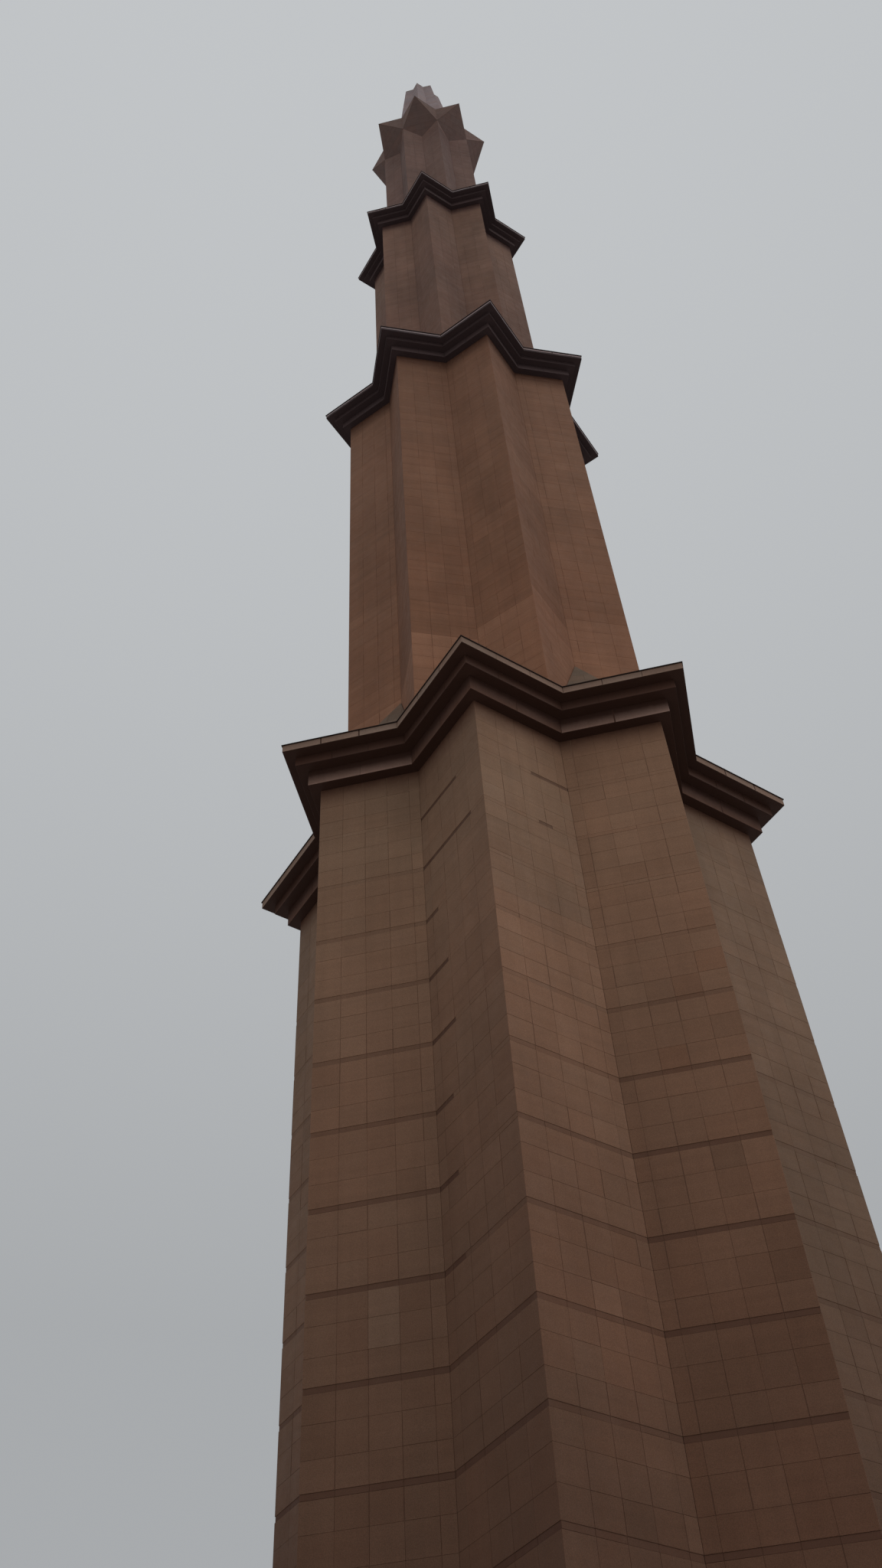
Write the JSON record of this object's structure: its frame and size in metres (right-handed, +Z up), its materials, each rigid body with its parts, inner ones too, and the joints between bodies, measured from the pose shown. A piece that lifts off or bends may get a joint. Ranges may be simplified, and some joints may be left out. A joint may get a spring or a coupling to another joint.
{
  "type": "minaret, 1:10 scale model of a 116 m five-tier star-plan tower",
  "caption": "Tall granite-clad minaret on an eight-pointed star plan, with stepped cornices, ledge roofs, an outward-folded star crown and a small pinnacle.",
  "frame": {"origin": "centre of the tower at ground level", "axes": "+Z up the tower's axis; a tip of the lower star points to -Y, the front, and others to +X, +Y and -X"},
  "size_m": [1.494, 1.494, 11.6],
  "materials": {
    "granite": "polished brown granite panels with fine joints and recessed dark bands",
    "upper_granite": "brown granite panels, paler and pinker than the lower shaft",
    "dark_cornice": "near-black polished granite",
    "ledge_stone": "light pink-brown granite panels",
    "roof_stone": "grey weathered stone slabs",
    "pinnacle_stone": "pale pink granite courses"
  },
  "bodies": {
    "root": {"lower_shaft_point_wall_1": "granite", "lower_shaft_point_wall_2": "granite", "lower_shaft_point_wall_3": "granite", "lower_shaft_point_wall_4": "granite", "lower_shaft_point_wall_5": "granite", "lower_shaft_point_wall_6": "granite", "lower_shaft_point_wall_7": "granite", "lower_shaft_point_wall_8": "granite", "second_shaft_point_wall_1": "upper_granite", "second_shaft_point_wall_2": "upper_granite", "second_shaft_point_wall_3": "upper_granite", "second_shaft_point_wall_4": "upper_granite", "second_shaft_point_wall_5": "upper_granite", "second_shaft_point_wall_6": "upper_granite", "second_shaft_point_wall_7": "upper_granite", "second_shaft_point_wall_8": "upper_granite", "third_shaft_point_wall_1": "upper_granite", "third_shaft_point_wall_2": "upper_granite", "third_shaft_point_wall_3": "upper_granite", "third_shaft_point_wall_4": "upper_granite", "third_shaft_point_wall_5": "upper_granite", "third_shaft_point_wall_6": "upper_granite", "third_shaft_point_wall_7": "upper_granite", "third_shaft_point_wall_8": "upper_granite", "fourth_shaft_double_point_wall_1": "upper_granite", "fourth_shaft_double_point_wall_2": "upper_granite", "fourth_shaft_double_point_wall_3": "upper_granite", "fourth_shaft_double_point_wall_4": "upper_granite", "first_cornice_lower_course": "ledge_stone", "first_cornice_middle_course": "dark_cornice", "first_cornice_slab_ledge": "ledge_stone", "second_cornice_lower_course": "dark_cornice", "second_cornice_middle_course": "dark_cornice", "second_cornice_slab_ledge": "ledge_stone", "third_cornice_lower_course": "dark_cornice", "third_cornice_middle_course": "dark_cornice", "third_cornice_slab_ledge": "ledge_stone", "first_ledge_roof": "roof_stone", "second_ledge_roof": "roof_stone", "third_ledge_roof": "roof_stone", "star_crown": "upper_granite", "crown_roof": "roof_stone", "pinnacle_shaft": "pinnacle_stone", "pinnacle_cap": "roof_stone"}
  },
  "joints": []
}
